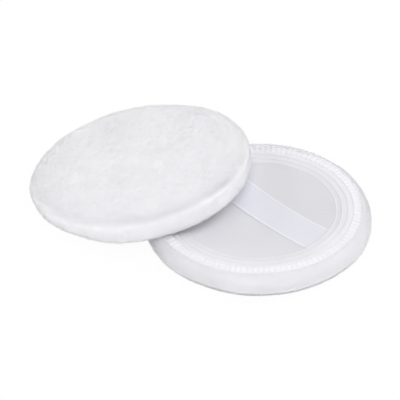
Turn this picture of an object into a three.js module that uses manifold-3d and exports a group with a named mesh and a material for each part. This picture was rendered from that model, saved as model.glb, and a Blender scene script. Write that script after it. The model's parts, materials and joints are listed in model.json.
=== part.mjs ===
// Two round powder puffs: one lies on its plush face with its back up, the other leans on it face up.
// Each puff is a plush cover over a sponge pad, closed at the back by a dished film, whose edge a crimped
// seal ring welds to the plush. The ring also holds the two ends of a satin finger ribbon.
// Millimetres, +Z up. The origin is the middle of the lower puff's flat face, on the table, and the
// leaning puff lies towards -X.
import * as THREE from 'three';
import { mergeVertices } from 'three/addons/utils/BufferGeometryUtils.js';
import Module from 'manifold-3d';

// Puff outline
const PUFF_RADIUS = 40;
const PUFF_HEIGHT = 10.5;
const EQUATOR_HEIGHT = 4;
const FACE_FLAT_RADIUS = 30;
const RIM_CREST_INSET = 2.8;
const RIM_WIDTH = 3.45;
const RIM_LIP_HEIGHT = 0.9;

// Layers of one puff
const PLUSH_THICKNESS = 1.8;
const MARGIN_THICKNESS = 0.8;
const FILM_THICKNESS = 0.4;
const FILM_DISH = 2;
const LAYER_GAP = 0.1;
const PAD_GAP = 0.3;

// Seal ring
const SEAL_RECESS = 0.5;
const RING_THICKNESS = 0.65;
const SEAM_GAP = 0.15;
const CRIMP_COUNT = 112;
const CRIMP_LENGTH = 3.3;
const CRIMP_HEIGHT = 0.4;
const CRIMP_FLOOR = 0.08;
const CRIMP_EDGE = 0.2;
const RIDGE_COUNT = 3;
const RIDGE_PITCH = 2.05;
const RIDGE_INSET = 1.5;
const RIDGE_WIDTH = 1;
const RIDGE_HEIGHT = 0.3;
const RING_EDGE = 0.4;

// Finger ribbon
const RIBBON_WIDTH = 12.5;
const RIBBON_THICKNESS = 0.3;
const RIBBON_SAG = 1.35;
const RIBBON_OFFSET = 3.8;
const RIBBON_TUCK = 6;
const RIBBON_SLOT_GAP = 0.2;
const RIBBON_CUT_GAP = 0.3;
const GRIP_LENGTH = 18;
const GRIP_SHIFT = 7;

// How the two puffs lie
const LOWER_RIBBON_TURN = THREE.MathUtils.degToRad(-21.25);
const UPPER_RIBBON_TURN = THREE.MathUtils.degToRad(90);
const LEAN_OVERHANG = 6.3;
const LEAN_GAP = 0.15;
const LARGEST_LEAN = THREE.MathUtils.degToRad(40);

// Facets
const ROUND_SEGMENTS = 52;
const INNER_SEGMENTS = 36;
const ROLL_STEPS = 4;
const INNER_STEPS = 3;
const DISH_STEPS = 4;
const RIBBON_STEPS = 4;
const LEAN_SAMPLES = 180;
const LEAN_HALVINGS = 40;

// Radii that follow from the sizes
const crestRadius = PUFF_RADIUS - RIM_CREST_INSET;
const lipRadius = PUFF_RADIUS - RIM_WIDTH;
const sealRadius = lipRadius - SEAM_GAP;
const crimpRadius = sealRadius - CRIMP_LENGTH;
const firstRidge = crimpRadius - RIDGE_INSET;
const lastRidge = firstRidge - (RIDGE_COUNT - 1) * RIDGE_PITCH;
const ringRadius = lastRidge - RIDGE_WIDTH / 2 - RING_EDGE;

// Distance between the middles of the two puffs
const leanOffset = PUFF_RADIUS + LEAN_OVERHANG;

// Heights above the plush face
const ringTop = PUFF_HEIGHT - SEAL_RECESS;
const ringBottom = ringTop - RING_THICKNESS;
const filmEdgeTop = ringBottom - LAYER_GAP;
const marginTop = filmEdgeTop - FILM_THICKNESS - LAYER_GAP;
const marginBottom = marginTop - MARGIN_THICKNESS;
const ribbonSeat = filmEdgeTop + LAYER_GAP;

const wasm = await Module();
wasm.setup();

function matte(color, roughness) {
  return new THREE.MeshStandardMaterial({ color, roughness, metalness: 0 });
}

// Quarter of an ellipse about (r, z), from one angle to another, both in quarter turns.
function roll(r, z, across, up, from, to, steps) {
  const points = [];
  for (let step = 0; step <= steps; step += 1) {
    const angle = (from + ((to - from) * step) / steps) * (Math.PI / 2);
    points.push([r + across * Math.cos(angle), z + up * Math.sin(angle)]);
  }
  return points;
}

// Turns a closed half outline of [radius, height] points about the Z axis.
function turned(outline, segments) {
  const points = outline.map(([r, z]) => new THREE.Vector2(r, z));
  return new THREE.LatheGeometry(points, segments).rotateX(Math.PI / 2);
}

// Top of the film, which is flat under the seal ring and dished inside it.
function filmTop(r) {
  const inside = Math.min(r / ringRadius, 1);
  return filmEdgeTop - FILM_DISH * (1 - inside * inside);
}

// Dish of the film, moved down by a depth, from one radius to another.
function dish(depth, from, to) {
  const points = [];
  for (let step = 0; step <= DISH_STEPS; step += 1) {
    const r = from + ((to - from) * step) / DISH_STEPS;
    points.push([r, filmTop(r) - depth]);
  }
  return points;
}

// Outer surface of the plush, from the middle of the face round the rim to its crest.
function plushOutside() {
  const faceRoll = PUFF_RADIUS - FACE_FLAT_RADIUS;
  const shoulder = PUFF_HEIGHT - EQUATOR_HEIGHT;
  return [
    [0, 0],
    ...roll(FACE_FLAT_RADIUS, EQUATOR_HEIGHT, faceRoll, EQUATOR_HEIGHT, -1, 0, ROLL_STEPS),
    ...roll(crestRadius, EQUATOR_HEIGHT, RIM_CREST_INSET, shoulder, 0, 1, ROLL_STEPS).slice(1),
  ];
}

// Pocket for the pad inside the plush, grown smaller by a gap, from the margin round to the middle.
function pocket(gap) {
  const widest = PUFF_RADIUS - PLUSH_THICKNESS - gap;
  const floor = PLUSH_THICKNESS + gap;
  const roof = marginBottom - gap;
  const flat = FACE_FLAT_RADIUS - gap;
  const roofEdge = lipRadius - PLUSH_THICKNESS;
  return [
    ...roll(roofEdge, EQUATOR_HEIGHT, widest - roofEdge, roof - EQUATOR_HEIGHT, 1, 0, INNER_STEPS),
    ...roll(flat, EQUATOR_HEIGHT, widest - flat, EQUATOR_HEIGHT - floor, 0, -1, INNER_STEPS).slice(1),
    [0, floor],
  ];
}

function plushCover() {
  const lipHeight = PUFF_HEIGHT - RIM_LIP_HEIGHT;
  const outline = [
    ...plushOutside(),
    ...roll(crestRadius, lipHeight, crestRadius - lipRadius, RIM_LIP_HEIGHT, 1, 2, INNER_STEPS).slice(1),
    [lipRadius, marginTop],
    [crimpRadius, marginTop],
    [crimpRadius, marginBottom],
    ...pocket(0),
  ];
  return turned(outline, ROUND_SEGMENTS);
}

function spongePad() {
  const plugRadius = crimpRadius - PAD_GAP;
  const depth = FILM_THICKNESS + LAYER_GAP;
  const outline = [
    ...dish(depth, 0, ringRadius),
    [plugRadius, filmTop(plugRadius) - depth],
    [plugRadius, marginBottom - PAD_GAP],
    ...pocket(PAD_GAP),
  ];
  return turned(outline.reverse(), INNER_SEGMENTS);
}

function backFilm() {
  const outline = [
    ...dish(FILM_THICKNESS, 0, ringRadius),
    [sealRadius, filmEdgeTop - FILM_THICKNESS],
    [sealRadius, filmEdgeTop],
    ...dish(0, ringRadius, 0),
  ];
  return turned(outline, ROUND_SEGMENTS);
}

// One circle of points on the seal ring; heightAt gives each point's height from its number.
function circle(count, radius, heightAt) {
  const points = [];
  for (let number = 0; number < count; number += 1) {
    const angle = (2 * Math.PI * number) / count;
    points.push([radius * Math.cos(angle), radius * Math.sin(angle), heightAt(number)]);
  }
  return points;
}

// Triangles between two circles of the ring, where one may have twice as many points as the other.
function stitch(first, second, a, b) {
  const triangles = [];
  const steps = Math.min(a, b);
  for (let step = 0; step < steps; step += 1) {
    const onA = (k) => first + ((step * a) / steps + k) % a;
    const onB = (k) => second + ((step * b) / steps + k) % b;
    if (a < b) {
      triangles.push(onA(0), onB(1), onB(0), onA(0), onA(1), onB(1), onA(1), onB(2), onB(1));
    } else if (a > b) {
      triangles.push(onA(0), onA(1), onB(0), onA(1), onB(1), onB(0), onA(1), onA(2), onB(1));
    } else {
      triangles.push(onA(0), onA(1), onB(0), onA(1), onB(1), onB(0));
    }
  }
  return triangles;
}

// Ring with radial crimps on its outer band and fine ridges inside them.
function crimpedRing() {
  const flat = (height) => () => height;
  const wave = (number) => ringTop + (number % 2 === 0 ? CRIMP_HEIGHT : CRIMP_FLOOR);
  const coarse = CRIMP_COUNT / 2;
  const fine = CRIMP_COUNT * 2;
  const circles = [
    circle(coarse, ringRadius, flat(ringBottom)),
    circle(CRIMP_COUNT, sealRadius, flat(ringBottom)),
    circle(CRIMP_COUNT, sealRadius, flat(ringTop)),
    circle(fine, sealRadius - CRIMP_EDGE, wave),
    circle(fine, crimpRadius + CRIMP_EDGE, wave),
    circle(CRIMP_COUNT, crimpRadius, flat(ringTop)),
  ];
  for (let ridge = 0; ridge < RIDGE_COUNT; ridge += 1) {
    const middle = firstRidge - ridge * RIDGE_PITCH;
    circles.push(circle(coarse, middle + RIDGE_WIDTH / 2, flat(ringTop)));
    circles.push(circle(coarse, middle, flat(ringTop + RIDGE_HEIGHT)));
    circles.push(circle(coarse, middle - RIDGE_WIDTH / 2, flat(ringTop)));
  }
  circles.push(circle(coarse, ringRadius, flat(ringTop)));
  const starts = [];
  let total = 0;
  for (const points of circles) {
    starts.push(total);
    total += points.length;
  }
  const triangles = [];
  circles.forEach((points, number) => {
    const next = (number + 1) % circles.length;
    triangles.push(...stitch(starts[number], starts[next], points.length, circles[next].length));
  });
  const geometry = new THREE.BufferGeometry();
  geometry.setAttribute('position', new THREE.Float32BufferAttribute(circles.flat(2), 3));
  geometry.setIndex(triangles);
  return geometry;
}

function toSolid(geometry) {
  const bare = geometry.clone();
  bare.deleteAttribute('normal');
  bare.deleteAttribute('uv');
  const merged = mergeVertices(bare);
  return new wasm.Manifold(new wasm.Mesh({
    numProp: 3,
    vertProperties: new Float32Array(merged.attributes.position.array),
    triVerts: new Uint32Array(merged.index.array),
  }));
}

function fromSolid(solid) {
  const mesh = solid.getMesh();
  const geometry = new THREE.BufferGeometry();
  geometry.setAttribute('position', new THREE.BufferAttribute(mesh.vertProperties, 3));
  geometry.setIndex(new THREE.BufferAttribute(mesh.triVerts, 1));
  return geometry;
}

// Seal ring with a slot under each side, where a ribbon end is held.
function sealRing() {
  const slotLength = RIBBON_TUCK + RIBBON_SLOT_GAP + RING_EDGE;
  const slotHeight = RIBBON_THICKNESS + LAYER_GAP;
  let solid = toSolid(crimpedRing());
  for (const side of [-1, 1]) {
    const slot = new THREE.BoxGeometry(slotLength, RIBBON_WIDTH + 2 * RIBBON_SLOT_GAP, 2 * slotHeight);
    slot.translate(side * (ribbonEdge() + slotLength / 2 - RING_EDGE), RIBBON_OFFSET, ringBottom);
    solid = solid.subtract(toSolid(slot));
  }
  return fromSolid(solid);
}

// Half length of the free ribbon: where its further corner meets the ring's inner edge.
function ribbonEdge() {
  const corner = Math.abs(RIBBON_OFFSET) + RIBBON_WIDTH / 2;
  return Math.sqrt(ringRadius * ringRadius - corner * corner);
}

// Underside of the ribbon along its length: flat in the ring's slots, sagging towards the dish between them.
function ribbonHeight(along) {
  const share = Math.min(Math.abs(along) / ribbonEdge(), 1);
  return ribbonSeat - RIBBON_SAG * (1 - share * share);
}

// Stretch of ribbon between two places along its length.
function ribbonStretch(from, to) {
  const turns = [-ribbonEdge(), ribbonEdge()].filter((place) => place > from && place < to);
  const ends = [from, ...turns, to];
  const places = [];
  for (let number = 0; number + 1 < ends.length; number += 1) {
    const length = ends[number + 1] - ends[number];
    for (let step = number === 0 ? 0 : 1; step <= RIBBON_STEPS; step += 1) {
      places.push(ends[number] + (length * step) / RIBBON_STEPS);
    }
  }
  const below = places.map((place) => new THREE.Vector2(place, ribbonHeight(place)));
  const above = places.map((place) => new THREE.Vector2(place, ribbonHeight(place) + RIBBON_THICKNESS));
  const shape = new THREE.Shape([...below, ...above.reverse()]);
  const geometry = new THREE.ExtrudeGeometry(shape, { depth: RIBBON_WIDTH, bevelEnabled: false });
  return geometry.rotateX(Math.PI / 2).translate(0, RIBBON_OFFSET + RIBBON_WIDTH / 2, 0);
}

// One whole puff, face down at z = 0, with its ribbon along X.
function puff(name) {
  const end = ribbonEdge() + RIBBON_TUCK;
  const gripFrom = GRIP_SHIFT - GRIP_LENGTH / 2;
  const gripTo = GRIP_SHIFT + GRIP_LENGTH / 2;
  const pieces = [
    ['plush_cover', plushCover(), matte(0xedecf1, 0.95)],
    ['sponge_pad', spongePad(), matte(0xf3f0e6, 0.9)],
    ['back_film', backFilm(), matte(0xe6e6ea, 0.15)],
    ['seal_ring', sealRing(), matte(0xeeeef2, 0.12)],
    ['ribbon_far_end', ribbonStretch(-end, gripFrom - RIBBON_CUT_GAP), matte(0xe4e7f4, 0.4)],
    ['ribbon_grip', ribbonStretch(gripFrom, gripTo), matte(0xe4e7f4, 0.4)],
    ['ribbon_near_end', ribbonStretch(gripTo + RIBBON_CUT_GAP, end), matte(0xe4e7f4, 0.4)],
  ];
  const group = new THREE.Group();
  for (const [piece, geometry, material] of pieces) {
    const mesh = new THREE.Mesh(geometry, material);
    mesh.name = `${name}_${piece}`;
    group.add(mesh);
  }
  return group;
}

// Height of a puff's back at a radius: the dish, the ring with its raised lines, or the plush rim.
function backHeight(r) {
  if (r < ringRadius) {
    return filmTop(r);
  }
  if (r < crimpRadius) {
    return ringTop + RIDGE_HEIGHT;
  }
  if (r < lipRadius) {
    return ringTop + CRIMP_HEIGHT;
  }
  if (r < crestRadius) {
    return PUFF_HEIGHT;
  }
  const out = (r - crestRadius) / RIM_CREST_INSET;
  return EQUATOR_HEIGHT + (PUFF_HEIGHT - EQUATOR_HEIGHT) * Math.sqrt(Math.max(0, 1 - out * out));
}

// Places the leaning puff: face up, tilted down towards -X, its lowest edge on the table.
function leaningPlace(lean) {
  const turn = new THREE.Matrix4().makeRotationY(-lean);
  turn.multiply(new THREE.Matrix4().makeRotationX(Math.PI));
  turn.multiply(new THREE.Matrix4().makeRotationZ(UPPER_RIBBON_TURN));
  const middle = new THREE.Vector3(0, 0, PUFF_HEIGHT / 2).applyMatrix4(turn);
  let lowest = Infinity;
  for (const [r, z] of plushOutside()) {
    lowest = Math.min(lowest, -r * Math.sin(lean) - z * Math.cos(lean));
  }
  const place = new THREE.Matrix4().makeTranslation(-leanOffset - middle.x, 0, -lowest);
  return place.multiply(turn);
}

// Least clearance between the lower rim and the leaning puff's back, and the other way round.
function leanClearance(lean) {
  const toLower = leaningPlace(lean);
  const toUpper = toLower.clone().invert();
  const rim = plushOutside().filter(([r, z]) => z > EQUATOR_HEIGHT && r > lipRadius);
  let least = Infinity;
  for (const [r, z] of rim) {
    for (let sample = 0; sample < LEAN_SAMPLES; sample += 1) {
      const angle = (2 * Math.PI * sample) / LEAN_SAMPLES;
      for (const change of [toLower, toUpper]) {
        const point = new THREE.Vector3(r * Math.cos(angle), r * Math.sin(angle), z).applyMatrix4(change);
        const away = Math.hypot(point.x, point.y);
        if (away < PUFF_RADIUS) {
          const overRibbon = change === toUpper && Math.abs(point.y - RIBBON_OFFSET) < RIBBON_WIDTH / 2;
          const ribbon = overRibbon ? ribbonHeight(point.x) + RIBBON_THICKNESS : 0;
          least = Math.min(least, point.z - Math.max(backHeight(away), ribbon));
        }
      }
    }
  }
  return least;
}

// Smallest lean that keeps the gap between the two puffs.
function leanAngle() {
  let low = 0;
  let high = LARGEST_LEAN;
  for (let halving = 0; halving < LEAN_HALVINGS; halving += 1) {
    const middle = (low + high) / 2;
    if (leanClearance(middle) < LEAN_GAP) {
      low = middle;
    } else {
      high = middle;
    }
  }
  return high;
}

const lower = puff('lower');
lower.rotation.z = LOWER_RIBBON_TURN;

const upper = puff('upper');
upper.applyMatrix4(leaningPlace(leanAngle()));

const puffs = new THREE.Group();
puffs.add(lower, upper);

export default puffs;
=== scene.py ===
"""Two plush powder puffs on a pale table: one lies back up, the other leans on it face up.

Each puff is worked out in millimetres in its own frame, with its plush face at z = 0, its back up and its
finger ribbon along x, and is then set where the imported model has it.
"""
import json
import math

import bmesh
import bpy
import numpy as np
from mathutils import Matrix, Vector


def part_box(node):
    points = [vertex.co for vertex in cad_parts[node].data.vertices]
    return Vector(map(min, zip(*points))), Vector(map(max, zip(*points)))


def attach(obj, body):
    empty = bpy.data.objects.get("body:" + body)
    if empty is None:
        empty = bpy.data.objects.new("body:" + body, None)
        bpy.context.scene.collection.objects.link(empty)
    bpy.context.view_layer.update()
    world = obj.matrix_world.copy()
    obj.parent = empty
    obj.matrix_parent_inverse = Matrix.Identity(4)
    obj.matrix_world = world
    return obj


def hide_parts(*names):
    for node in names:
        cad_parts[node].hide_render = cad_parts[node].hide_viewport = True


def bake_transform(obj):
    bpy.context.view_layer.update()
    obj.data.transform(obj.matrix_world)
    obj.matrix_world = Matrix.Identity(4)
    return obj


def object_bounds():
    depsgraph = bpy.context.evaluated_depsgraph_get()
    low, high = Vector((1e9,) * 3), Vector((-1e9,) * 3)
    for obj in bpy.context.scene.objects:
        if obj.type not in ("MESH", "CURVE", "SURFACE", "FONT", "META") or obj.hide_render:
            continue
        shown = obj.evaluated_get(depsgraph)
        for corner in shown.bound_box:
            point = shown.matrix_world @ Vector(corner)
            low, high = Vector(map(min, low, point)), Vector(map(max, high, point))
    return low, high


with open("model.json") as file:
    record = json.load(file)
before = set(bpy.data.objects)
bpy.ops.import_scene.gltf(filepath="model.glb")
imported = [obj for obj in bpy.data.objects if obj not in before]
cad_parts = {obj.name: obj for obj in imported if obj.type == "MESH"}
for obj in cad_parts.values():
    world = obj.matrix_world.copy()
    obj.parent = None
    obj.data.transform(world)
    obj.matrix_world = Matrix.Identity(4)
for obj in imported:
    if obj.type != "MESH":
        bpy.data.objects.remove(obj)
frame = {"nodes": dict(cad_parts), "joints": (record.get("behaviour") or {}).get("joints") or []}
cad_low, cad_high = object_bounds()

MM = 0.001

# Seeds of each puff, and what is added to them for its pieces; further noises of a piece add a few more
LOWER_SEED = 11
UPPER_SEED = 57
TRIAL_SEED = 3
PILE_SEED = 10
FILM_SEED = 20
RING_SEED = 30

# Smooth noise: how many waves are added up, and the spread of their frequencies
WAVE_COUNT = 40
WAVE_SPREAD = (0.7, 1.4)

# Meshes: the angle of an edge that stays sharp, points that are one (metres), and a face with no size
CREASE = math.radians(55)
SAME_PLACE = 1e-7
NO_SIZE = 1e-9

# Plush outline, in millimetres; the free values are for the face that doesn't lie on the table
EQUATOR_HEIGHT = 4.0
FACE_FLAT_RADIUS = 30.0
FREE_EQUATOR_HEIGHT = 5.0
FREE_FLAT_RADIUS = 29.0
FREE_LOFT = 0.8
RIM_CREST_INSET = 3.15
RIM_WIDTH = 3.45
RIM_LIP_HEIGHT = 0.3
PLUSH_THICKNESS = 1.8
MARGIN_THICKNESS = 0.8
LAYER_GAP = 0.1

# Rows of the cover's mesh, from the middle of its face to its lip, and from the lip round its pocket
FACE_ROWS = 54
UNDER_RIM_ROWS = 28
OVER_RIM_ROWS = 16
LIP_ROWS = 5
INSIDE_ROWS = (3, 2, 2, 4, 5)
COVER_COLUMNS = 480

# Softness of the cover: waves as (height, length), its swell, and its rim that hangs on the free side
COVER_WAVES = ((0.14, 21), (0.025, 7.5), (0.015, 2.4))
LOOSE_FROM_LIP = (0.2, 3.0)
PRESSED_TILT = (0.8, 1.0)
CROWN_RISE = 0.8
CROWN_TILT = (0, 0.6)
RIM_HANG = 2.0
HANG_REACH = (-8.0, 12.0)
HANG_FROM_LIP = 1.2

# Trial cover that is inflated, to find how the fabric settles
TRIAL_ROWS = 30
TRIAL_COLUMNS = 120
TRIAL_HOLE = 1.5
TRIAL_FRAMES = 20
TRIAL_PRESSURE = 4.0
TRIAL_SPARE_CLOTH = 0.02
TRIAL_WAVE_HEIGHT = 0.05
TRIAL_WAVE = 12
LARGEST_MOVE = 0.6
SMOOTHINGS = 7
INFLATION = 0.56

# Plush pile; lengths in millimetres
PILE_FIBRES = 49000
PILE_DEPTH = 0.4
PILE_LENGTH = (0.55, 0.85)
PILE_WIDTH = 0.062
PILE_ROOT = 0.1
PILE_CLEARANCE = 0.05
PILE_LOWEST = 0.02
PILE_SINK_WIDTH = 0.8
PILE_GLOW = 0.4
NORMAL_LEAN = 0.2

# How far the fibres lean: with the nap, towards a tuft, each its own way, and inward at the lip
NAP_LEAN = 0.06
NAP_WAVE = 24
TUFT_LEAN = 0.08
TUFT_WAVE = 1.8
STRAY_LEAN = 0.28
LIP_LEAN = 0.9
LIP_BAND = 0.6
LIP_SHORTENING = 0.4

# Map of the pile: upright strips, places of a fibre's three root corners and tip, and a strip's own shade
PILE_STRIPS = 64
FIBRE_ACROSS = (0.1, 0.5, 0.9, 0.5)
FIBRE_UP = (0.02, 0.1, 0.02, 0.98)
STRIP_SHARE = 0.35

# Seal ring; lengths in millimetres
CRIMP_COUNT = 112
CRIMP_LENGTH = 3.3
CRIMP_HEIGHT = 0.42
CRIMP_FALL = 0.36
CRIMP_DEPTH = 0.2
CRIMP_DEPTH_SHARE = (0.7, 1.0)
CRIMP_RISE = 0.7
STEPS_A_CRIMP = 10
RIDGE_COUNT = 3
RIDGE_PITCH = 2.05
RIDGE_INSET = 1.5
RIDGE_WIDTH = 1.0
RIDGE_HEIGHT = 0.16
RIDGE_LINE = 0.85
RING_ROWS = 80
RING_EDGE = 0.4
RING_FOOT = 1.5
RING_THICKNESS = 0.65
RING_TAPER = 0.02
RING_OVERLAP = 0.5
RING_WAVE_HEIGHT = 0.02
RING_WAVE = 9
RING_WAVE_START = 2
SEAL_MOTTLE = 0.25

# Back film; lengths in millimetres, and ripples as (height, length)
FILM_THICKNESS = 0.4
FILM_ROWS = 60
FILM_EDGE_ROWS = 5
FILM_UNDER_STEP = 5
FILM_COLUMNS = 336
FILM_TUCK = 0.5
FILM_EDGE_START = 1.5
FILM_RIPPLES = ((0.05, 19), (0.015, 9))
RIPPLE_FADE = 1.2
PUCKER_COUNT = 56
PUCKER_HEIGHT = 0.02
PUCKER_START = 9
PUCKER_FULL = 2
PUCKER_WANDER = 2
PUCKER_WANDER_WAVE = 25
PUCKER_CHANGE = 0.4
PUCKER_CHANGE_WAVE = 12

# Finger ribbon; lengths in millimetres, and the paler edge's inset in widths of the selvage
RIBBON_WIDTH = 12.5
RIBBON_THICKNESS = 0.16
RIBBON_GAP = 0.04
RIBBON_TUCK = 6.0
RIBBON_ARCH = 0.06
RIBBON_ARCH_FADE = 5
RIBBON_ROOM_BESIDE = 0.1
RIBBON_ROOM_BEYOND = 0.2
RIBBON_ROOM_FADE = 0.8
SELVAGE_WIDTH = 0.55
SELVAGE_THICKNESS = 0.07
SELVAGE_INSIDE = (1.5, 0.7)
RIBBON_SPLIT = 5.0
FAR_BEND = (-14.0, -1.0)
NEAR_BEND = (23.2, 9.5)
RIBBON_ROWS_PER_MM = 3.0
RIBBON_COLUMNS = 30
SATIN_FLOATS = (0.6, 9.0, 1.0)

# Darker and paler colour of each material
# Plush ground: a random mottle, both tints below the pile's tips as painted shade between the fibres
PLUSH_MOTTLE_AND_SHADE_TINTS = ((0.915, 0.905, 0.965), (0.94, 0.93, 0.985))
# Pile: the darker tint at the fibre roots is painted shade deep in the pile, the paler one is at the tips
PILE_ROOT_SHADE_TINTS = ((0.93, 0.92, 0.975), (0.975, 0.965, 1.0))
FILM_TINTS = ((0.72, 0.715, 0.75), (0.73, 0.725, 0.76))
# Seal: the paler tint over the crimps is a painted highlight; the mottle between the tints is random
SEAL_MOTTLE_AND_HIGHLIGHT_TINTS = ((0.76, 0.755, 0.79), (0.86, 0.855, 0.89))
RIBBON_TINTS = ((0.77, 0.77, 0.84), (0.85, 0.85, 0.90))
# Foam: the darker tint is painted shade in the pores
SPONGE_PORE_SHADE_TINTS = ((0.72, 0.7, 0.64), (0.9, 0.88, 0.82))

# Textures: velour's sheen, pores a metre, the values of noise that a mottle spans, and the film's roughness
VELOUR_SHEEN = {"Specular IOR Level": 0.0, "Sheen Weight": 1.0, "Sheen Roughness": 0.5}
SPONGE_PORES = 900
MID_NOISE = (0.3, 0.7)
FILM_ROUGHNESS = (0.29, 0.35)

# Camera, fitted to the outlines of both puffs
IMAGE_WIDTH = 400
CAMERA_AZIMUTH = 25.9
CAMERA_ELEVATION = 37.85
CAMERA_DISTANCE = 1.2
CAMERA_CLIP = (0.01, 50)
SENSOR_WIDTH = 36.0
FOCAL_PIXELS = 3420
LOWER_MIDDLE_PIXELS = (257.9, 219.2)

# Walls and ceiling: strength of their light, and the heights in a unit direction between which it changes
WALL_LIGHT = 0.85
CEILING_LIGHT = 0.04
WALL_HEIGHTS = (0.18, 0.48)

# Floor: how much of it shows plain white, its paint, and its reach and low wall in metres
FLOOR_WHITENESS = 0.96
FLOOR_PAINT = 0.96
FLOOR_REACH = 3.0
FLOOR_WALL = 0.15

# Lamps: name, azimuth and elevation in degrees, width in metres, power in watts
LAMP_DISTANCE = 1.6
LAMPS = (
    ("front", 26, 40, 0.6, 5.6),
    ("high", 40, 66, 0.9, 7.7),
    ("back", 140, 36, 0.9, 11.6),
    ("far", 190, 42, 0.9, 3.2),
    ("right", 60, 20, 0.9, 3.3),
    ("left", -80, 26, 0.9, 8.2),
    ("front_left", -30, 35, 0.9, 4.0),
)


def box_mm(node):
    """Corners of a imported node, in millimetres."""
    low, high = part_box(node)
    return np.array(low) / MM, np.array(high) / MM


def mesh_points(mesh):
    """Vertices of a mesh, in millimetres."""
    points = np.zeros(len(mesh.vertices) * 3)
    mesh.vertices.foreach_get("co", points)
    return points.reshape(-1, 3) / MM


plush_low, plush_high = box_mm("lower_plush_cover")
ring_low, ring_high = box_mm("lower_seal_ring")
film_low, film_high = box_mm("lower_back_film")

puff_radius = (plush_high[1] - plush_low[1]) / 2
puff_height = plush_high[2]
crest_radius = puff_radius - RIM_CREST_INSET
lip_radius = puff_radius - RIM_WIDTH
seal_radius = (ring_high[1] - ring_low[1]) / 2
crimp_radius = seal_radius - CRIMP_LENGTH
first_ridge = crimp_radius - RIDGE_INSET
last_ridge = first_ridge - (RIDGE_COUNT - 1) * RIDGE_PITCH
ring_radius = last_ridge - RIDGE_WIDTH / 2 - RING_EDGE
ring_bottom = ring_low[2]
ring_top = ring_bottom + RING_THICKNESS
film_edge_top = film_high[2]
film_dish = film_edge_top - FILM_THICKNESS - film_low[2]
margin_top = film_edge_top - FILM_THICKNESS - LAYER_GAP
margin_bottom = margin_top - MARGIN_THICKNESS


class Puff:
    """Where one puff lies: its axes as columns of turn, and the middle of its face, in millimetres."""

    def __init__(self, name, back):
        near = np.mean(box_mm(name + "_ribbon_near_end"), axis=0)
        far = np.mean(box_mm(name + "_ribbon_far_end"), axis=0)
        up = np.array(back, float) / np.linalg.norm(back)
        along = near - far
        along -= up * (along @ up)
        along /= np.linalg.norm(along)
        self.name = name
        self.body = name + "_puff"
        self.strap = name + "_strap"
        self.turn = np.stack([along, np.cross(up, along), up], axis=1)
        self.face = np.zeros(3)

    def to_model(self, points):
        """Puff points to points of the model, both in millimetres."""
        return np.asarray(points) @ self.turn.T + self.face

    def to_puff(self, points):
        """Model points to puff points, both in millimetres."""
        return (np.asarray(points) - self.face) @ self.turn


strap_axes = {joint["child"]: joint["axis"] for joint in frame["joints"]}
lower = Puff("lower", strap_axes["lower_strap"])
upper = Puff("upper", strap_axes["upper_strap"])
lower_cover = mesh_points(frame["nodes"]["lower_plush_cover"].data)
upper_cover = mesh_points(frame["nodes"]["upper_plush_cover"].data)
upper.face = upper_cover.mean(axis=0) - upper.turn @ lower.to_puff(lower_cover).mean(axis=0)
ribbon_offset = lower.to_puff(np.mean(box_mm("lower_ribbon_grip"), axis=0))[1]
ribbon_edge = math.sqrt(ring_radius**2 - (abs(ribbon_offset) + RIBBON_WIDTH / 2) ** 2)
ribbon_end = ribbon_edge + RIBBON_TUCK


def wave_set(length, seed):
    """Seeded wave vectors of about one wavelength, and their phases."""
    rng = np.random.default_rng(seed)
    ways = rng.normal(size=(WAVE_COUNT, 3))
    ways /= np.linalg.norm(ways, axis=1)[:, None]
    ways *= (2 * math.pi / length) * rng.uniform(*WAVE_SPREAD, WAVE_COUNT)[:, None]
    return ways, rng.uniform(0, 2 * math.pi, WAVE_COUNT)


def waves(points, length, seed):
    """Smooth noise of about that wavelength at each point, mostly between -1 and 1."""
    total = np.zeros(len(points))
    for way, phase in zip(*wave_set(length, seed)):
        total += np.cos(points @ way + phase)
    return total / math.sqrt(WAVE_COUNT)


def layered_waves(points, layers, seed):
    """Sum of smooth noises, each given as its height and its wavelength."""
    return sum(height * waves(points, length, seed + layer) for layer, (height, length) in enumerate(layers))


def wave_slopes(points, length, seed):
    """Slope of the same noise at each point, as vectors mostly shorter than 1."""
    total = np.zeros((len(points), 3))
    for way, phase in zip(*wave_set(length, seed)):
        total -= np.sin(points @ way + phase)[:, None] * way
    return total * (length / (2 * math.pi)) / math.sqrt(WAVE_COUNT)


def smooth_step(value, low, high):
    """0 at low, 1 at high, with no corner at either."""
    share = np.clip((value - low) / (high - low), 0, 1)
    return share * share * (3 - 2 * share)


def from_axis(points):
    """Distance of each point from the z axis."""
    return np.hypot(points[:, 0], points[:, 1])


def roll(r, z, across, up, start, end, steps):
    """Points of an ellipse about (r, z), from one angle to another, both in quarter turns."""
    angle = np.linspace(start, end, steps + 1) * (math.pi / 2)
    return np.stack([r + across * np.cos(angle), z + up * np.sin(angle)], axis=1)


def line(start, end, steps):
    """Evenly spaced points from start to end, without the last one."""
    share = np.arange(steps)[:, None] / steps
    return np.array(start) * (1 - share) + np.array(end) * share


def grid_faces(rows, columns, closed=False):
    """Faces between rows of a round grid, each row a ring; closed joins the last row to the first."""
    row = np.arange(rows if closed else rows - 1)[:, None]
    column = np.arange(columns)
    beside = (column + 1) % columns
    start = row * columns
    ahead = (row + 1) % rows * columns
    corners = [start + column, start + beside, ahead + beside, ahead + column]
    return np.stack(corners, axis=2).reshape(-1, 4)


def turned(outline, columns):
    """Rows of (across, up) pairs turned about z, as points row by row."""
    angle = 2 * math.pi * np.arange(columns) / columns
    across, up = outline[:, 0], outline[:, 1]
    x = np.outer(across, np.cos(angle))
    y = np.outer(across, np.sin(angle))
    z = np.repeat(up[:, None], columns, axis=1)
    return np.stack([x, y, z], axis=2).reshape(-1, 3)


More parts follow.
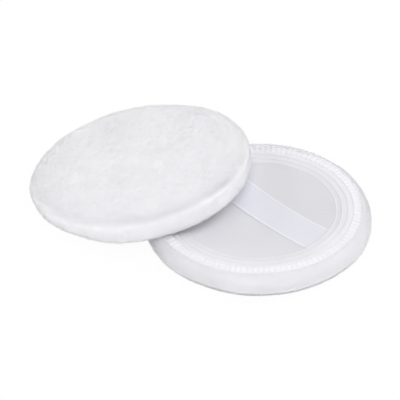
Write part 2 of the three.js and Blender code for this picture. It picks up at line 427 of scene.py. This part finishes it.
def make_object(name, points, faces):
    """A smooth mesh object from points in model millimetres."""
    mesh = bpy.data.meshes.new(name)
    mesh.from_pydata((np.asarray(points) * MM).tolist(), [], np.asarray(faces).tolist())
    mesh.shade_smooth()
    made = bpy.data.objects.new(name, mesh)
    bpy.context.scene.collection.objects.link(made)
    return made


def clean_mesh(made):
    """Joins the points of a pole, turns all faces outward, and keeps real edges sharp."""
    work = bmesh.new()
    work.from_mesh(made.data)
    bmesh.ops.remove_doubles(work, verts=work.verts, dist=SAME_PLACE)
    bmesh.ops.recalc_face_normals(work, faces=work.faces)
    for edge in work.edges:
        edge.smooth = edge.calc_face_angle(0) < CREASE
    work.to_mesh(made.data)
    work.free()


def lay_map(made, name, places):
    """UV map of a mesh, from a place for each of its points."""
    mesh = made.data
    corners = np.zeros(len(mesh.loops), np.int64)
    mesh.loops.foreach_get("vertex_index", corners)
    layer = mesh.uv_layers.new(name=name)
    layer.data.foreach_set("uv", places[corners].ravel())


def plush_outside(rests_flat):
    """Rows of the plush from the middle of its face to its lip; a free face is rounder."""
    flat = FACE_FLAT_RADIUS if rests_flat else FREE_FLAT_RADIUS
    equator = EQUATOR_HEIGHT if rests_flat else FREE_EQUATOR_HEIGHT
    face = 0 if rests_flat else -FREE_LOFT
    lip_height = puff_height - RIM_LIP_HEIGHT
    return np.concatenate(
        [
            line((0, face), (flat, face), FACE_ROWS),
            roll(flat, equator, puff_radius - flat, equator - face, -1, 0, UNDER_RIM_ROWS),
            roll(crest_radius, equator, RIM_CREST_INSET, puff_height - equator, 0, 1, OVER_RIM_ROWS)[1:],
            roll(crest_radius, lip_height, crest_radius - lip_radius, RIM_LIP_HEIGHT, 1, 2, LIP_ROWS)[1:],
        ]
    )


def plush_inside():
    """Rows of the plush from under the seal ring round the pocket to its middle."""
    over, edge, under, roof, floor = INSIDE_ROWS
    roof_edge = lip_radius - PLUSH_THICKNESS
    widest = puff_radius - PLUSH_THICKNESS
    high = margin_bottom - EQUATOR_HEIGHT
    deep = EQUATOR_HEIGHT - PLUSH_THICKNESS
    return np.concatenate(
        [
            line((lip_radius, margin_top), (crimp_radius, margin_top), over),
            line((crimp_radius, margin_top), (crimp_radius, margin_bottom), edge),
            line((crimp_radius, margin_bottom), (roof_edge, margin_bottom), under),
            roll(roof_edge, EQUATOR_HEIGHT, widest - roof_edge, high, 1, 0, roof),
            roll(FACE_FLAT_RADIUS, EQUATOR_HEIGHT, widest - FACE_FLAT_RADIUS, deep, 0, -1, floor)[1:],
            [(0, PLUSH_THICKNESS)],
        ]
    )


def outline_normals(outline):
    """Outward direction of each row of an outline."""
    ahead = np.gradient(outline, axis=0)
    normal = np.stack([ahead[:, 1], -ahead[:, 0]], axis=1)
    return normal / np.linalg.norm(normal, axis=1)[:, None]


def settled_moves(outside, seed):
    """How the fabric moves when a coarse cover, held at its lip, is inflated: rows by columns, in mm."""
    places = np.linspace(0, len(outside) - 1, TRIAL_ROWS)
    numbers = np.arange(len(outside))
    rows = np.stack([np.interp(places, numbers, outside[:, axis]) for axis in (0, 1)], axis=1)
    rows[0, 0] = TRIAL_HOLE
    start = turned(rows, TRIAL_COLUMNS)
    uneven = np.stack([waves(start, TRIAL_WAVE, seed + axis) for axis in range(3)], axis=1)
    start += TRIAL_WAVE_HEIGHT * uneven
    trial = make_object("trial_cover", start, grid_faces(TRIAL_ROWS, TRIAL_COLUMNS))
    held = trial.vertex_groups.new(name="held")
    held.add(list(range((TRIAL_ROWS - 1) * TRIAL_COLUMNS, TRIAL_ROWS * TRIAL_COLUMNS)), 1.0, "REPLACE")
    cloth = trial.modifiers.new("Cloth", "CLOTH").settings
    cloth.vertex_group_mass = "held"
    cloth.use_pressure = True
    cloth.uniform_pressure_force = TRIAL_PRESSURE
    cloth.shrink_min = -TRIAL_SPARE_CLOTH
    cloth.effector_weights.gravity = 0
    scene = bpy.context.scene
    for number in range(1, TRIAL_FRAMES + 1):
        scene.frame_set(number)
    settled = mesh_points(trial.evaluated_get(bpy.context.evaluated_depsgraph_get()).data)
    scene.frame_set(1)
    bpy.data.objects.remove(trial)
    moves = settled - start
    far = np.linalg.norm(moves, axis=1)[:, None]
    moves *= np.minimum(1, LARGEST_MOVE / np.maximum(far, LARGEST_MOVE))
    moves = moves.reshape(TRIAL_ROWS, TRIAL_COLUMNS, 3)
    for _ in range(SMOOTHINGS):
        moves = (np.roll(moves, 1, axis=1) + 2 * moves + np.roll(moves, -1, axis=1)) / 4
        moves[1:-1] = (moves[:-2] + 2 * moves[1:-1] + moves[2:]) / 4
    return moves


def spread(moves, rows, columns):
    """Moves of a coarse round grid spread smoothly over a finer one."""
    row = np.linspace(0, len(moves) - 1, rows)
    low = np.minimum(row.astype(int), len(moves) - 2)
    share = (row - low)[:, None, None]
    by_row = moves[low] * (1 - share) + moves[low + 1] * share
    column = np.arange(columns) * (moves.shape[1] / columns)
    left = column.astype(int)
    share = (column - left)[None, :, None]
    right = (left + 1) % moves.shape[1]
    return (by_row[:, left] * (1 - share) + by_row[:, right] * share).reshape(-1, 3)


def hanging_rim(puff, skin, from_lip):
    """How much further the rim reaches back where it hangs free, towards the model's +X."""
    ahead = skin @ (puff.turn.T @ (1, 0, 0))
    shoulder = smooth_step(skin[:, 2], FREE_EQUATOR_HEIGHT, puff_height)
    hanging = smooth_step(from_lip, 0, HANG_FROM_LIP) * smooth_step(ahead, *HANG_REACH)
    return RIM_HANG * shoulder * hanging


def plush_cover(puff, seed, rests_flat):
    """Soft cover under its pile, flat where it lies on the table; and its outer skin, as puff points."""
    outside = plush_outside(rests_flat)
    points = turned(np.concatenate([outside, plush_inside()]), COVER_COLUMNS)
    out = turned(outline_normals(outside), COVER_COLUMNS)
    skin = points[: len(out)]
    from_lip = np.repeat(np.linalg.norm(outside - outside[-1], axis=1), COVER_COLUMNS)
    loose = smooth_step(from_lip, *LOOSE_FROM_LIP)
    pressed = smooth_step(-out[:, 2], *PRESSED_TILT) if rests_flat else 0
    inward = np.clip(1 - (from_axis(skin) / puff_radius) ** 2, 0, 1)
    crown = inward * smooth_step(-out[:, 2], *CROWN_TILT)
    move = layered_waves(skin, COVER_WAVES, seed) + CROWN_RISE * crown
    under_pile = PILE_DEPTH * smooth_step(from_lip, 0, PILE_SINK_WIDTH)
    if not rests_flat:
        skin[:, 2] += hanging_rim(puff, skin, from_lip)
    skin = skin + out * ((move * loose - under_pile) * (1 - pressed))[:, None]
    settled = spread(settled_moves(outside, seed + TRIAL_SEED), len(outside), COVER_COLUMNS)
    skin = skin + (settled - INFLATION * out) * (loose * (1 - pressed))[:, None]
    points[: len(out)] = skin
    points = puff.to_model(points)
    points[:, 2] = np.maximum(points[:, 2], 0)
    made = make_object(puff.name + "_plush", points, grid_faces(len(points) // COVER_COLUMNS, COVER_COLUMNS))
    clean_mesh(made)
    return made, puff.to_puff(points[: len(out)])


def skin_triangles(skin):
    """Corner points, size and outward normal of each triangle of a cover's outer skin."""
    quads = skin[grid_faces(len(skin) // COVER_COLUMNS, COVER_COLUMNS)]
    triangles = np.concatenate([quads[:, [0, 1, 2]], quads[:, [0, 2, 3]]])
    across = np.cross(triangles[:, 1] - triangles[:, 0], triangles[:, 2] - triangles[:, 0])
    size = np.linalg.norm(across, axis=1)
    real = size > NO_SIZE
    return triangles[real], size[real], across[real] / size[real, None]


def fibre_roots(skin, rng, rests_flat):
    """Roots of the fibres, spread evenly over the skin that is off the table, and the normal at each."""
    triangles, size, normal = skin_triangles(skin)
    if rests_flat:
        free = triangles[:, :, 2].min(axis=1) > PILE_CLEARANCE
        triangles, size, normal = triangles[free], size[free], normal[free]
    pick = rng.choice(len(size), PILE_FIBRES, p=size / size.sum())
    u, v = rng.uniform(size=(2, PILE_FIBRES))
    u, v = np.where(u + v > 1, 1 - u, u), np.where(u + v > 1, 1 - v, v)
    a, b, c = triangles[pick].transpose(1, 0, 2)
    return a + (b - a) * u[:, None] + (c - a) * v[:, None], normal[pick]


def fibre_ways(root, up, near_lip, rng, seed):
    """Direction of each fibre, leaning with the nap, towards its tuft, its own way, and inward at the lip."""
    nap = np.stack([waves(root, NAP_WAVE, seed + axis) for axis in (1, 2, 3)], axis=1)
    tuft = wave_slopes(root, TUFT_WAVE, seed + 4)
    lean = NAP_LEAN * nap + TUFT_LEAN * tuft + STRAY_LEAN * rng.normal(size=(PILE_FIBRES, 3))
    lean[:, :2] -= LIP_LEAN * (near_lip / from_axis(root))[:, None] * root[:, :2]
    lean -= up * (lean * up).sum(axis=1)[:, None]
    way = up + lean
    return way / np.linalg.norm(way, axis=1)[:, None]


def plush_pile(puff, skin, seed, rests_flat):
    """Short fibres of the pile, each a thin closed spike, shaded mostly like the skin under it."""
    rng = np.random.default_rng(seed)
    root, up = fibre_roots(skin, rng, rests_flat)
    near_lip = smooth_step(root[:, 2], margin_top + LIP_BAND, puff_height - LIP_BAND)
    near_lip *= 1 - smooth_step(from_axis(root), lip_radius, crest_radius)
    way = fibre_ways(root, up, near_lip, rng, seed)
    length = rng.uniform(*PILE_LENGTH, PILE_FIBRES) * (1 - LIP_SHORTENING * near_lip)
    tip = root + way * length[:, None]
    root = root - up * PILE_ROOT
    side = np.cross(way, rng.normal(size=(PILE_FIBRES, 3)))
    side *= PILE_WIDTH / np.linalg.norm(side, axis=1)[:, None]
    other = np.cross(way, side)
    corners = [root + side * math.cos(t) + other * math.sin(t) for t in np.arange(3) * (2 * math.pi / 3)]
    points = puff.to_model(np.stack([*corners, tip], axis=1).reshape(-1, 3))
    points[:, 2] = np.maximum(points[:, 2], PILE_LOWEST)
    spike = np.array([(0, 1, 3), (1, 2, 3), (2, 0, 3), (0, 2, 1)])
    points_each = len(FIBRE_UP)
    faces = (points_each * np.arange(PILE_FIBRES)[:, None, None] + spike).reshape(-1, 3)
    made = make_object(puff.name + "_pile", points, faces)
    strip = rng.integers(0, PILE_STRIPS, PILE_FIBRES)
    across = (strip[:, None] + FIBRE_ACROSS) / PILE_STRIPS
    lay_map(made, "OFBake", np.stack([across, np.tile(FIBRE_UP, (PILE_FIBRES, 1))], axis=2).reshape(-1, 2))
    soft = (up * (1 - NORMAL_LEAN) + way * NORMAL_LEAN) @ puff.turn.T
    soft[:, 2] += PILE_GLOW * (1 - np.abs(soft[:, 2]))
    made.data.normals_split_custom_set_from_vertices(np.repeat(soft, points_each, axis=0).tolist())
    return made


def film_top(radius):
    """Height of the film's top: flat under the ring and dished inside it."""
    inside = np.minimum(radius / ring_radius, 1)
    return film_edge_top - film_dish * (1 - inside**2)


def film_free(away):
    """1 where the film is free inside the ring, 0 where the ring holds it."""
    return 1 - smooth_step(away, ring_radius - RIPPLE_FADE, ring_radius)


def film_ripple(points, seed):
    """Faint ripples of the film inside the ring, above its dished shape."""
    return film_free(from_axis(points)) * layered_waves(points * (1, 1, 0), FILM_RIPPLES, seed)


def back_film(puff, seed):
    """Dished film with faint ripples and short puckers where the ring draws it in."""
    inner = np.linspace(0, ring_radius + FILM_TUCK, FILM_ROWS)
    outer = np.linspace(ring_radius + FILM_EDGE_START, seal_radius, FILM_EDGE_ROWS)
    top = np.concatenate([inner, outer])
    bottom = np.concatenate([inner[::FILM_UNDER_STEP], outer])
    rows = np.concatenate(
        [
            np.stack([bottom, film_top(bottom) - FILM_THICKNESS], axis=1),
            np.stack([top, film_top(top)], axis=1)[::-1],
        ]
    )
    points = turned(rows, FILM_COLUMNS)
    away = from_axis(points)
    angle = np.arctan2(points[:, 1], points[:, 0])
    drawn = smooth_step(away, ring_radius - PUCKER_START, ring_radius - PUCKER_FULL) * film_free(away)
    wander = PUCKER_WANDER * waves(points, PUCKER_WANDER_WAVE, seed + 2)
    change = 1 - PUCKER_CHANGE + PUCKER_CHANGE * waves(points, PUCKER_CHANGE_WAVE, seed + 3)
    pucker = np.cos(PUCKER_COUNT * angle + wander) * change
    points[:, 2] += film_ripple(points, seed) + PUCKER_HEIGHT * drawn * pucker
    made = make_object(puff.name + "_film", puff.to_model(points), grid_faces(len(rows), FILM_COLUMNS))
    clean_mesh(made)
    return made


def over_ribbon(points):
    """1 where the ring lies over a ribbon end, 0 beside it, with a soft edge."""
    beside = np.abs(points[:, 1] - ribbon_offset) - RIBBON_WIDTH / 2 - RIBBON_ROOM_BESIDE
    beyond = np.abs(points[:, 0]) - ribbon_end - RIBBON_ROOM_BEYOND
    return (1 - smooth_step(beside, 0, RIBBON_ROOM_FADE)) * (1 - smooth_step(beyond, 0, RIBBON_ROOM_FADE))


def crimp_heights(away, number, seed):
    """Height of the crimps: straight ribs with round tops, on a band that slopes down outward."""
    rng = np.random.default_rng(seed)
    depth = CRIMP_DEPTH * rng.uniform(*CRIMP_DEPTH_SHARE, CRIMP_COUNT)
    valley = np.sin(math.pi * number) ** 2
    valley *= depth[np.round(number).astype(int) % CRIMP_COUNT]
    crest = crimp_radius + CRIMP_RISE
    rise = smooth_step(away, crimp_radius, crest)
    slope = CRIMP_FALL * np.clip((away - crest) / (seal_radius - crest), 0, 1)
    return rise * (CRIMP_HEIGHT - slope - valley)


def seal_ring(puff, seed):
    """Ring that carries the dish on outward, with fine ridges, a crimped band, and room for the ribbon."""
    columns = CRIMP_COUNT * STEPS_A_CRIMP
    outer_edge = seal_radius + RING_OVERLAP
    across = np.linspace(outer_edge, ring_radius, RING_ROWS)
    edge_low = film_edge_top + RING_TAPER / 2
    edge_top = edge_low + RING_TAPER
    inside = np.clip((crimp_radius - across) / (crimp_radius - ring_radius), 0, 1)
    top = np.stack([across, ring_top - (ring_top - edge_top) * inside**2], axis=1)
    flat = [(radius, ring_bottom) for radius in (ring_radius + RING_FOOT, crimp_radius, outer_edge)]
    bottom = np.array([(ring_radius, edge_low), *flat])
    points = turned(np.concatenate([bottom, top]), columns)
    lift = (RIBBON_THICKNESS + SELVAGE_THICKNESS + 2 * RIBBON_GAP) * over_ribbon(points)
    sunk = smooth_step(from_axis(points), ring_radius, crimp_radius)
    sunk[: len(bottom) * columns] = 0
    points[:, 2] += lift * (1 - sunk)
    skin = points[len(bottom) * columns :]
    away = from_axis(skin)
    number = np.tile(np.arange(columns), len(top)) / STEPS_A_CRIMP
    skin[:, 2] += crimp_heights(away, number, seed)
    for ridge in range(RIDGE_COUNT):
        off = np.abs(away - first_ridge + ridge * RIDGE_PITCH) / (RIDGE_LINE / 2)
        skin[:, 2] += RIDGE_HEIGHT * np.cos(np.minimum(off, 1) * math.pi / 2) ** 2
    uneven = RING_WAVE_HEIGHT * waves(skin, RING_WAVE, seed + 1)
    skin[:, 2] += uneven * smooth_step(away, ring_radius, ring_radius + RING_WAVE_START)
    faces = grid_faces(len(bottom) + len(top), columns, closed=True)
    made = make_object(puff.name + "_seal", puff.to_model(points), faces)
    clean_mesh(made)
    placed = puff.to_puff(mesh_points(made.data))
    lay_map(made, "Round", np.stack([from_axis(placed), placed[:, 2]], axis=1))
    return made


def ribbon_half(puff, name, start, end, film_seed):
    """Stretch of satin ribbon on the film between two places, with thicker selvages, as a closed strip."""
    rows = int((end - start) * RIBBON_ROWS_PER_MM) + 1
    half = RIBBON_WIDTH / 2
    side = half * np.sin(np.linspace(-1, 1, RIBBON_COLUMNS) * math.pi / 2)
    edge = np.exp(-(((np.abs(side) - half + SELVAGE_WIDTH / 2) / (SELVAGE_WIDTH / 2)) ** 2))
    thick = RIBBON_THICKNESS + SELVAGE_THICKNESS * edge
    along = np.repeat(np.linspace(start, end, rows), RIBBON_COLUMNS)
    beside = np.tile(side, rows)
    below = np.stack([along, beside + ribbon_offset, np.zeros_like(along)], axis=1)
    free = 1 - smooth_step(np.abs(along), ribbon_edge - RIBBON_ARCH_FADE, ribbon_edge)
    below[:, 2] = film_top(from_axis(below)) + film_ripple(below, film_seed) + RIBBON_GAP
    below[:, 2] += free * RIBBON_ARCH * (1 - (beside / half) ** 2)
    below = below.reshape(rows, RIBBON_COLUMNS, 3)
    above = below + thick[:, None] * (0, 0, 1)
    points = np.concatenate([below, above[:, ::-1]], axis=1).reshape(-1, 3)
    columns = 2 * RIBBON_COLUMNS
    faces = grid_faces(rows, columns).tolist()
    for ring in (np.arange(columns)[::-1], np.arange(columns) + (rows - 1) * columns):
        for step in range(RIBBON_COLUMNS - 1):
            faces.append([ring[step], ring[step + 1], ring[columns - 2 - step], ring[columns - 1 - step]])
    made = make_object(puff.name + name, puff.to_model(points), faces)
    clean_mesh(made)
    placed = puff.to_puff(mesh_points(made.data))
    lay_map(made, "Weave", placed[:, :2] - (0, ribbon_offset))
    return made


def new_material(name):
    """A material with its node tree and main shader."""
    made = bpy.data.materials.new(name)
    made.use_nodes = True
    tree = made.node_tree
    return made, tree, tree.nodes["Principled BSDF"]


def set_values(node, values):
    """Sets a node's inputs by name."""
    for name, value in values.items():
        node.inputs[name].default_value = value


def noise(tree, scale, detail, vector=None):
    """Noise over the model's own coordinates, scale in waves a metre, or over another vector."""
    made = tree.nodes.new("ShaderNodeTexNoise")
    set_values(made, {"Scale": scale, "Detail": detail})
    if vector is None:
        vector = tree.nodes.new("ShaderNodeTexCoord").outputs["Object"]
    tree.links.new(vector, made.inputs["Vector"])
    return made.outputs["Fac"]


def maths(tree, operation, *values):
    """Result of one sum, on sockets and numbers."""
    made = tree.nodes.new("ShaderNodeMath")
    made.operation = operation
    for place, value in zip(made.inputs, values):
        if isinstance(value, bpy.types.NodeSocket):
            tree.links.new(value, place)
        else:
            place.default_value = value
    return made.outputs["Value"]


def tint(tree, shader, factor, tints, low=0, high=1):
    """Base colour of a shader, from one tint to another while a factor goes from low to high."""
    ramp = tree.nodes.new("ShaderNodeValToRGB")
    for stop, place, colour in zip(ramp.color_ramp.elements, (low, high), tints):
        stop.position = place
        stop.color = (*colour, 1)
    tree.links.new(factor, ramp.inputs["Fac"])
    tree.links.new(ramp.outputs["Color"], shader.inputs["Base Color"])


def bump(tree, shader, height, distance, strength=1.0):
    """Bump on a shader, distance in metres."""
    made = tree.nodes.new("ShaderNodeBump")
    set_values(made, {"Distance": distance, "Strength": strength})
    tree.links.new(height, made.inputs["Height"])
    tree.links.new(made.outputs["Normal"], shader.inputs["Normal"])


def mapped(tree, value, low, high, start=0.0, end=1.0):
    """A value that goes from start to end while another goes from low to high."""
    made = tree.nodes.new("ShaderNodeMapRange")
    set_values(made, {"From Min": low, "From Max": high, "To Min": start, "To Max": end})
    tree.links.new(value, made.inputs["Value"])
    return made.outputs["Result"]


def uv_parts(tree, name):
    """A UV map and its two parts."""
    laid = tree.nodes.new("ShaderNodeUVMap")
    laid.uv_map = name
    apart = tree.nodes.new("ShaderNodeSeparateXYZ")
    tree.links.new(laid.outputs["UV"], apart.inputs["Vector"])
    return laid.outputs["UV"], apart.outputs["X"], apart.outputs["Y"]


def plush_material():
    """Ground of the white velour: a lavender cast, a soft mottle, a little darker than the pile's tips as
    painted shade between the fibres, and light that goes a little way in.
    """
    made, tree, shader = new_material("plush")
    tint(tree, shader, noise(tree, scale=420, detail=3), PLUSH_MOTTLE_AND_SHADE_TINTS, *MID_NOISE)
    bump(tree, shader, noise(tree, scale=1100, detail=2), distance=0.0001, strength=0.3)
    set_values(shader, {"Subsurface Weight": 0.6, "Subsurface Radius": (1, 1, 1), "Subsurface Scale": 0.0025})
    set_values(shader, {"Roughness": 0.95} | VELOUR_SHEEN)
    return made


def pile_material():
    """Fibres of the velour: paler towards the tip, with painted shade at the roots deep in the pile; each
    strip of them a little different.
    """
    made, tree, shader = new_material("pile")
    _, across, up = uv_parts(tree, "OFBake")
    strip = tree.nodes.new("ShaderNodeTexWhiteNoise")
    strip.noise_dimensions = "1D"
    number = maths(tree, "FLOOR", maths(tree, "MULTIPLY", across, PILE_STRIPS))
    tree.links.new(number, strip.inputs["W"])
    # Along each fibre from root to tip: the darker root is painted shade
    height = mapped(tree, up, 0, 1, 0, 1 - STRIP_SHARE)
    tint(tree, shader, maths(tree, "MULTIPLY_ADD", strip.outputs["Value"], STRIP_SHARE, height), PILE_ROOT_SHADE_TINTS)
    set_values(shader, {"Roughness": 0.9} | VELOUR_SHEEN)
    return made


def film_material():
    """Clear glossy vinyl over the white pad, slightly cloudy."""
    made, tree, shader = new_material("film")
    tint(tree, shader, noise(tree, scale=45, detail=2), FILM_TINTS, *MID_NOISE)
    rough = mapped(tree, noise(tree, scale=90, detail=3), *MID_NOISE, *FILM_ROUGHNESS)
    tree.links.new(rough, shader.inputs["Roughness"])
    bump(tree, shader, noise(tree, scale=260, detail=2), distance=0.00004, strength=0.5)
    set_values(shader, {"IOR": 1.45})
    return made


def seal_material():
    """Clear glossy vinyl, whiter over the crimped band as a painted highlight, with a random mottle."""
    made, tree, shader = new_material("seal")
    _, away, _ = uv_parts(tree, "Round")
    # Whiter from the ring's inside out to the crimps: painted highlight
    white = mapped(tree, away, crimp_radius - CRIMP_RISE, crimp_radius + CRIMP_RISE, 0, 1 - SEAL_MOTTLE)
    pressed = maths(tree, "MULTIPLY_ADD", noise(tree, scale=160, detail=2), SEAL_MOTTLE, white)
    tint(tree, shader, pressed, SEAL_MOTTLE_AND_HIGHLIGHT_TINTS)
    bump(tree, shader, noise(tree, scale=900, detail=2), distance=0.00003, strength=0.4)
    set_values(shader, {"Roughness": 0.28, "IOR": 1.5, "Coat Weight": 0.5, "Coat Roughness": 0.08})
    return made


def ribbon_material():
    """Satin: long floats along the ribbon, paler selvages, a bluish white."""
    made, tree, shader = new_material("ribbon")
    laid, _, across = uv_parts(tree, "Weave")
    start, full = (RIBBON_WIDTH / 2 - share * SELVAGE_WIDTH for share in SELVAGE_INSIDE)
    tint(tree, shader, mapped(tree, maths(tree, "ABSOLUTE", across), start, full), RIBBON_TINTS)
    stretch = tree.nodes.new("ShaderNodeMapping")
    set_values(stretch, {"Scale": SATIN_FLOATS})
    tree.links.new(laid, stretch.inputs["Vector"])
    floats = noise(tree, scale=1.0, detail=2, vector=stretch.outputs["Vector"])
    bump(tree, shader, floats, distance=0.00004, strength=0.5)
    set_values(shader, {"Roughness": 0.4, "Anisotropic": 0.5, "Sheen Weight": 0.1})
    return made


def sponge_material():
    """Open white foam, darker in its pores as painted shade."""
    made, tree, shader = new_material("sponge")
    pores = tree.nodes.new("ShaderNodeTexVoronoi")
    set_values(pores, {"Scale": SPONGE_PORES})
    tree.links.new(tree.nodes.new("ShaderNodeTexCoord").outputs["Object"], pores.inputs["Vector"])
    # Darker towards each pore's middle, where the bump sinks: painted shade
    tint(tree, shader, pores.outputs["Distance"], SPONGE_PORE_SHADE_TINTS, high=0.6)
    bump(tree, shader, pores.outputs["Distance"], distance=0.0004)
    set_values(shader, {"Roughness": 0.9})
    return made


def seen_directly(tree):
    """1 for rays from the camera, mirrors and glass, and 0 for light."""
    path = tree.nodes.new("ShaderNodeLightPath")
    total = path.outputs["Is Camera Ray"]
    for kind in ("Is Glossy Ray", "Is Transmission Ray"):
        total = maths(tree, "MAXIMUM", total, path.outputs[kind])
    return total


def floor_material():
    """Pale floor that shows nearly white but keeps a soft shadow."""
    made, tree, shader = new_material("floor")
    tree.nodes.remove(shader)
    paint = tree.nodes.new("ShaderNodeBsdfDiffuse")
    set_values(paint, {"Color": (FLOOR_PAINT, FLOOR_PAINT, FLOOR_PAINT, 1)})
    white = tree.nodes.new("ShaderNodeEmission")
    mix = tree.nodes.new("ShaderNodeMixShader")
    tree.links.new(mapped(tree, seen_directly(tree), 0, 1, 0, FLOOR_WHITENESS), mix.inputs["Fac"])
    tree.links.new(paint.outputs["BSDF"], mix.inputs[1])
    tree.links.new(white.outputs["Emission"], mix.inputs[2])
    tree.links.new(mix.outputs["Shader"], tree.nodes["Material Output"].inputs["Surface"])
    return made


def make_floor():
    """Wide floor at the height that the puffs rest on, with a low wall that closes level views."""
    reach = FLOOR_REACH / MM
    level = cad_low.z / MM
    corners = [(-reach, -reach), (reach, -reach), (reach, reach), (-reach, reach)]
    points = [(x, y, level + rise) for rise in (0, FLOOR_WALL / MM) for x, y in corners]
    count = len(corners)
    walls = [(side, (side + 1) % count, (side + 1) % count + count, side + count) for side in range(count)]
    made = make_object("floor", points, [tuple(range(count)), *walls])
    made.data.materials.append(floor_material())


def make_world():
    """Plain studio: white walls low down, and a dimmer ceiling."""
    world = bpy.data.worlds.new("studio")
    bpy.context.scene.world = world
    world.use_nodes = True
    tree = world.node_tree
    apart = tree.nodes.new("ShaderNodeSeparateXYZ")
    tree.links.new(tree.nodes.new("ShaderNodeTexCoord").outputs["Generated"], apart.inputs["Vector"])
    strength = mapped(tree, apart.outputs["Z"], *WALL_HEIGHTS, WALL_LIGHT, CEILING_LIGHT)
    tree.links.new(strength, tree.nodes["Background"].inputs["Strength"])
    set_values(tree.nodes["Background"], {"Color": (1, 1, 1, 1)})


def direction(azimuth, elevation):
    """Unit vector towards an azimuth (0 is -Y, 90 is +X) and elevation, in degrees."""
    a, e = math.radians(azimuth), math.radians(elevation)
    return Vector((math.sin(a) * math.cos(e), -math.cos(a) * math.cos(e), math.sin(e)))


def make_lamp(name, azimuth, elevation, size, power):
    """Soft square lamp that points at the middle of the model."""
    lamp = bpy.data.lights.new(name, "AREA")
    lamp.size = size
    lamp.energy = power
    made = bpy.data.objects.new(name, lamp)
    bpy.context.scene.collection.objects.link(made)
    way = direction(azimuth, elevation)
    made.location = (cad_low + cad_high) / 2 + way * LAMP_DISTANCE
    made.rotation_mode = "QUATERNION"
    made.rotation_quaternion = (-way).to_track_quat("-Z", "Y")


def make_camera():
    """Camera that puts the lower puff's middle at its place in the photograph, with no lens shift."""
    back = direction(CAMERA_AZIMUTH, CAMERA_ELEVATION)
    right = Vector((0, 0, 1)).cross(back).normalized()
    up = back.cross(right)
    across = LOWER_MIDDLE_PIXELS[0] - IMAGE_WIDTH / 2
    down = LOWER_MIDDLE_PIXELS[1] - IMAGE_WIDTH / 2
    aim = -back * FOCAL_PIXELS - right * across + up * down
    data = bpy.data.cameras.new("camera")
    data.sensor_width = SENSOR_WIDTH
    data.lens = SENSOR_WIDTH * FOCAL_PIXELS / IMAGE_WIDTH
    data.clip_start, data.clip_end = CAMERA_CLIP
    made = bpy.data.objects.new("camera", data)
    bpy.context.scene.collection.objects.link(made)
    made.location = Vector((0, 0, puff_height / 2 * MM)) + back * CAMERA_DISTANCE
    made.rotation_mode = "QUATERNION"
    level = Matrix((right, up, back)).transposed().to_quaternion()
    made.rotation_quaternion = (-back).rotation_difference(aim.normalized()) @ level
    bpy.context.scene.camera = made


def fit(made, material, slot, *nodes):
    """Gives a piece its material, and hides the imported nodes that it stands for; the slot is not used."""
    made.data.materials.append(material)
    if nodes:
        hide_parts(*nodes)


def bend(puff, made, places):
    """Bakes a ribbon half's place into its mesh; the heights and ends at the given places are worked out but
    not used.
    """
    heights = [film_top(math.hypot(place, ribbon_offset)) for place in places]
    ends = [puff.to_model((place, ribbon_offset, height)) * MM for place, height in zip(places, heights)]
    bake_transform(made)


def make_puff(puff, seed, rests_flat, finishes):
    """All the pieces of one puff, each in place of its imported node."""
    name = puff.name
    cover, skin = plush_cover(puff, seed, rests_flat)
    pile = plush_pile(puff, skin, seed + PILE_SEED, rests_flat)
    film = back_film(puff, seed + FILM_SEED)
    ring = seal_ring(puff, seed + RING_SEED)
    fit(cover, finishes["plush"], "plush", name + "_plush_cover")
    fit(pile, finishes["pile"], "plush")
    fit(film, finishes["film"], "film", name + "_back_film")
    fit(ring, finishes["seal"], "seal", name + "_seal_ring")
    for piece in (cover, pile, film, ring):
        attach(piece, puff.body)
    far = ribbon_half(puff, "_ribbon_far", -ribbon_end, RIBBON_SPLIT, seed + FILM_SEED)
    near = ribbon_half(puff, "_ribbon_near", RIBBON_SPLIT, ribbon_end, seed + FILM_SEED)
    fit(far, finishes["ribbon"], "ribbon", name + "_ribbon_far_end", name + "_ribbon_grip")
    fit(near, finishes["ribbon"], "ribbon", name + "_ribbon_near_end")
    bend(puff, far, FAR_BEND)
    bend(puff, near, NEAR_BEND)
    pad = frame["nodes"][name + "_sponge_pad"]
    pad.data.materials.clear()
    pad.data.materials.append(finishes["sponge"])


make_camera()
make_floor()
make_world()
for lamp in LAMPS:
    make_lamp(*lamp)

materials = {
    "plush": plush_material(),
    "pile": pile_material(),
    "film": film_material(),
    "seal": seal_material(),
    "ribbon": ribbon_material(),
    "sponge": sponge_material(),
}
make_puff(lower, LOWER_SEED, True, materials)
make_puff(upper, UPPER_SEED, False, materials)

bpy.context.scene.view_settings.view_transform = "Standard"
